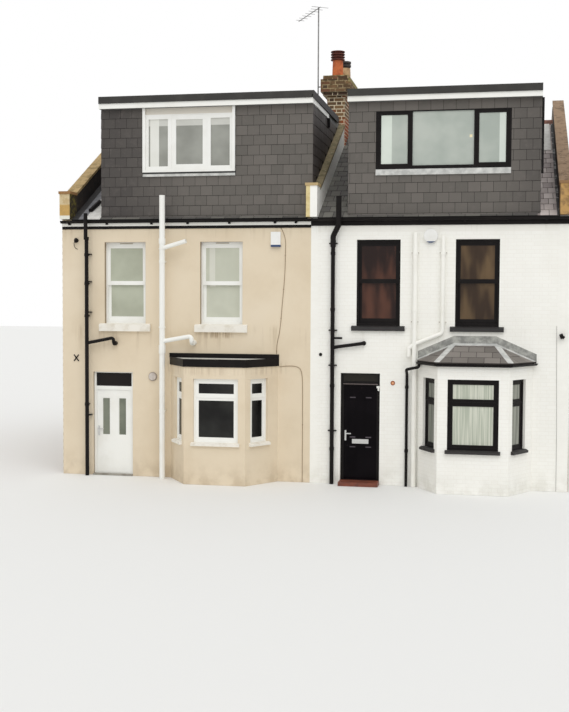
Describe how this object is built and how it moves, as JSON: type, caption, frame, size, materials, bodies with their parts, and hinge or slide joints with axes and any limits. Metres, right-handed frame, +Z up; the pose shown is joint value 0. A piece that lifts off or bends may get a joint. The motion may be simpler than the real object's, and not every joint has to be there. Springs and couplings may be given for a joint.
{
  "type": "pair of terraced houses",
  "caption": "Pair of two-storey terraced houses with flat-roofed slate-hung loft dormers, canted bays, garden doors and a shared chimney, ended at plain party walls.",
  "frame": {"origin": "ground level on the middle party wall centre line, at its garden face", "axes": "+X right along the garden elevation, +Y into the houses towards the street, +Z up"},
  "size_m": [10.641, 10.502, 10.6819],
  "materials": {
    "aluminium": "dull aluminium",
    "black_joinery": "black satin",
    "black_plastic": "black plastic",
    "black_sill": "black painted stone sill",
    "chimney_brick": "sooted stock brick",
    "concrete": "concrete",
    "coping_stone": "weathered stone",
    "floor_boards": "boarded floor",
    "glass": "clear double glazing",
    "lead": "weathered lead",
    "metal_fittings": "polished handle",
    "painted_brick": "white painted brickwork",
    "painted_sill": "painted concrete sill",
    "party_brick": "stock brick",
    "quarry_tile": "red quarry tile",
    "render_wall": "cream smooth sand and cement render, painted",
    "roof_membrane": "grey roof membrane",
    "slate": "natural slate",
    "terracotta": "unglazed clay",
    "white_board": "white fascia board",
    "white_upvc": "white plastic"
  },
  "bodies": {
    "houses": {"alarm_boxes": "white_upvc", "chimney_pots": "terracotta", "chimney_stack": "chimney_brick", "door_hinges": "metal_fittings", "dormer_cheeks": "slate", "dormer_fascias": "white_board", "dormer_fronts": "slate", "dormer_kerbs": "black_plastic", "dormer_roofs": "roof_membrane", "first_floors": "floor_boards", "ground_floors": "concrete", "gutters": "black_plastic", "kneelers": "coping_stone", "lead_flashings": "lead", "left_bay_fascia": "black_plastic", "left_bay_roof": "roof_membrane", "left_bay_walls": "render_wall", "left_bay_windows": "white_upvc", "left_black_pipe": "black_plastic", "left_door_frame": "white_upvc", "left_dormer_window": "white_upvc", "left_eaves_board": "white_board", "left_garden_piers": "render_wall", "left_garden_roof": "slate", "left_garden_wall": "render_wall", "left_sash_windows": "white_upvc", "left_sills": "painted_sill", "left_soil_stack": "white_upvc", "left_step": "concrete", "loft_floors": "floor_boards", "parapet_copings": "coping_stone", "party_wall_left": "party_brick", "party_wall_middle": "party_brick", "party_wall_right": "party_brick", "ridge_tiles": "terracotta", "right_bay_roof": "slate", "right_bay_walls": "painted_brick", "right_bay_windows": "black_joinery", "right_black_pipe": "black_plastic", "right_door_frame": "black_joinery", "right_dormer_window": "black_joinery", "right_eaves_board": "black_plastic", "right_garden_piers": "painted_brick", "right_garden_roof": "slate", "right_garden_wall": "painted_brick", "right_sash_windows": "black_joinery", "right_sills": "black_sill", "right_step": "quarry_tile", "right_white_pipes": "white_upvc", "street_doors": "black_joinery", "street_roofs": "slate", "street_walls": "party_brick", "street_windows": "white_upvc", "tv_aerial": "aluminium", "window_panes": "glass"},
    "left_door": {"left_door_leaf": "white_upvc", "left_door_furniture": "metal_fittings", "left_door_panes": "glass"},
    "right_door": {"right_door_leaf": "black_joinery", "right_door_furniture": "metal_fittings"}
  },
  "joints": [
    {"name": "left_door_hinge", "type": "hinge", "parent": "houses", "child": "left_door", "pos_m": [-3.919, 0.132, 0.05], "axis": [0, 0, -1], "range_deg": [0, 90]},
    {"name": "right_door_hinge", "type": "hinge", "parent": "houses", "child": "right_door", "pos_m": [1.366, 0.132, 0.1], "axis": [0, 0, -1], "range_deg": [0, 90]}
  ]
}
